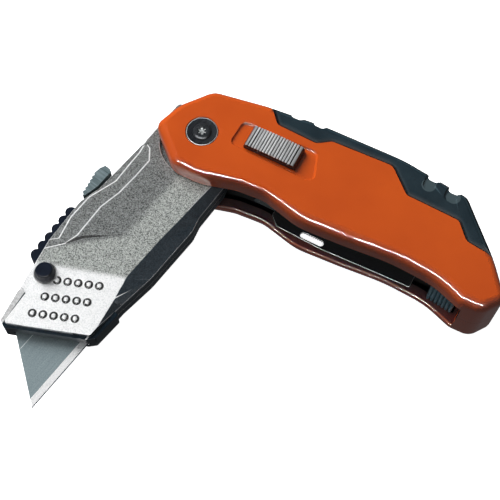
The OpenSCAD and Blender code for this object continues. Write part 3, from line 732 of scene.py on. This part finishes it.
# How each node's copy is finished: its edges' rounding in millimetres, the record's slot, and the
# looks of its faces and edges where they aren't the slot's
FINISHES = {
    "front_shell": dict(width=0.35, segments=3, slot="orange_paint"),
    "back_shell": dict(width=0.35, segments=3, slot="orange_paint"),
    # The grips' rounded edges wear a painted highlight
    "front_grip": dict(width=0.12, slot="slate_rubber", edge="rubber_edge_highlight"),
    "back_grip": dict(width=0.12, slot="slate_rubber", edge="rubber_edge_highlight"),
    "front_liner": dict(width=0.06, segments=1, slot="plate_steel"),
    "pivot_barrel": dict(width=0.1, slot="dark_steel"),
    "pivot_screw": dict(width=0.06, slot="dark_steel", look="star_steel"),
    # The washer's edges wear a painted highlight
    "pivot_washer": dict(width=0.07, slot="dark_steel", edge="edge_highlight"),
    "handle_screws": dict(width=0.06, slot="dark_steel"),
    # The tray's edges wear a painted highlight
    "spare_blade_tray": dict(width=0.1, slot="black_plastic", edge="edge_highlight"),
    "spare_blades": dict(width=0.0, slot="blade_steel"),
    "lock_slide": dict(width=0.12, slot="slide_steel"),
    "storage_latch": dict(width=0.08, slot="latch_plastic"),
    "nose_insert": dict(width=0.2, slot="plate_steel", look="nose_steel"),
    "spine_grip": dict(width=0.12, slot="black_plastic"),
    "carrier_screws": dict(width=0.06, slot="dark_steel"),
    "release_button": dict(width=0.08, slot="black_plastic"),
    "blade": dict(width=0.0, slot="blade_steel"),
    "blade_carriage": dict(width=0.1, slot="dark_steel"),
    "thumb_slider": dict(width=0.1, slot="slide_steel", look="thumb_steel"),
}

# Small hidden pieces that stay as the CAD has them, and the joint that presses each spring
KEPT_LOOKS = {
    "pivot_spacers": "brass", "tang_bushing": "brass", "lock_bar": "plate_steel",
    "lock_pin": "dark_steel", "detent_strip": "plate_steel",
}
SPRINGS = {"lock_spring": "lock_pull", "latch_spring": "latch_push", "button_spring": "release_press"}


def shade_inside(node, depth=10 * MM, far_wall=30 * MM, off_surface=0.05 * MM):
    """Gives the faces inside a shell the painted shade of the channel: those that face the other shell or each
    other.
    """
    piece = bpy.data.objects[node + "_look"]
    inwards = 1 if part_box(node)[0].z < PIVOT.z - 1 * MM else -1
    piece.data.materials.append(LOOKS["shaded_inside"])
    corners = [vertex.co for vertex in piece.data.vertices]
    tree = BVHTree.FromPolygons(corners, [polygon.vertices for polygon in piece.data.polygons])
    for polygon in piece.data.polygons:
        if abs(polygon.center.z - PIVOT.z) > depth:
            continue
        start = polygon.center + polygon.normal * off_surface
        facing_wall = tree.ray_cast(start, polygon.normal, far_wall)[0]
        if facing_wall or polygon.normal.z * inwards > 0.5:
            polygon.material_index = 1


def sprung(node):
    """A coil that rides on its body, as the CAD node has it."""
    piece = copy_of(node, LOOKS["dark_steel"])
    soften(piece, 0)
    stand_for(piece, node)
    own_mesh(piece)


def build_pieces():
    """Every piece of the visual model, each standing for its CAD node."""
    for node, finish in FINISHES.items():
        piece = copy_of(node, LOOKS[finish.get("look", finish["slot"])])
        edge_look = LOOKS.get(finish.get("edge"))
        soften(piece, finish["width"], finish.get("segments", 2), edge_look=edge_look)
        stand_for(piece, node)
    shade_inside("front_shell")
    shade_inside("back_shell")
    dressed_carrier("carrier_front_shell", 1)
    dressed_carrier("carrier_back_shell", -1)
    for node, joint_name in SPRINGS.items():
        sprung(node)
    for node, slot in KEPT_LOOKS.items():
        NODES[node].data.materials.clear()
        NODES[node].data.materials.append(LOOKS[slot])


build_pieces()


# ---- Floor, light and camera

# The photograph's view
CAMERA_AT = Vector((86.8, -144.8, 313.2)) * MM
CAMERA_RIGHT = Vector((0.888, 0.459, 0.014))
CAMERA_BACK = Vector((0.1751, -0.3671, 0.9136))
LENS = 78.05


def make_floor(reach=3.0, gap=0.03 * MM):
    """A pale floor, just under the part, that is lit evenly and throws no light on it."""
    low = CAD_BOUNDS[0].z - gap
    corners = [(-reach, -reach, low), (reach, -reach, low), (reach, reach, low), (-reach, reach, low)]
    floor = link("floor", mesh_of("floor", corners, [(0, 1, 2, 3)]))
    look = Shading("floor", Roughness=0.8, Specular_IOR_Level=0.1)
    look.colour(look.ramp(look.noise(9, 2), (0.3, grey(0.80)), (0.7, grey(0.84))))
    look.shader.inputs["Emission Color"].default_value = (1, 1, 1, 1)
    look.shader.inputs["Emission Strength"].default_value = 1.0
    floor.data.materials.append(look.material)
    floor.visible_diffuse = False
    floor.visible_glossy = False


def area_light(name, offset, size, power):
    """A rectangular light that looks at the part's middle from the offset."""
    middle = (CAD_BOUNDS[0] + CAD_BOUNDS[1]) / 2
    data = bpy.data.lights.new(name, "AREA")
    data.shape = "RECTANGLE"
    data.size, data.size_y = size
    data.energy = power
    light = bpy.data.objects.new(name, data)
    bpy.context.scene.collection.objects.link(light)
    light.location = middle + Vector(offset)
    light.rotation_euler = (middle - light.location).to_track_quat("-Z", "Y").to_euler()
    return light


def make_lights():
    """A soft key that isn't mirrored, and a thin strip that is only mirrored, along the belly edge."""
    key = area_light("key_soft", (-0.9, 0.35, 0.75), (0.9, 0.9), 26)
    key.visible_glossy = False
    strip = area_light("belly_strip", (0.05, -0.55, 0.66), (1.6, 0.014), 25)
    strip.visible_diffuse = False


def make_world():
    """A dim surround for the light, which the camera sees as a pale backdrop."""
    world = bpy.data.worlds.new("studio")
    world.use_nodes = True
    nodes, links = world.node_tree.nodes, world.node_tree.links
    nodes["Background"].inputs["Color"].default_value = (0.9, 0.95, 1, 1)
    seen = nodes.new("ShaderNodeMapRange")
    seen.inputs["To Min"].default_value = 0.1
    seen.inputs["To Max"].default_value = 1.0
    links.new(nodes.new("ShaderNodeLightPath").outputs["Is Camera Ray"], seen.inputs["Value"])
    links.new(seen.outputs["Result"], nodes["Background"].inputs["Strength"])
    bpy.context.scene.world = world


def make_camera():
    """The photograph's camera, turned by its right and back directions."""
    back = CAMERA_BACK.normalized()
    up = back.cross(CAMERA_RIGHT.normalized()).normalized()
    right = up.cross(back)
    data = bpy.data.cameras.new("camera")
    data.sensor_width = 36
    data.lens = LENS
    camera = bpy.data.objects.new("camera", data)
    bpy.context.scene.collection.objects.link(camera)
    turn = Matrix((right, up, back)).transposed().to_4x4()
    camera.matrix_world = Matrix.Translation(CAMERA_AT) @ turn
    bpy.context.scene.camera = camera


make_floor()
make_lights()
make_world()
make_camera()
bpy.context.scene.view_settings.view_transform = "Standard"
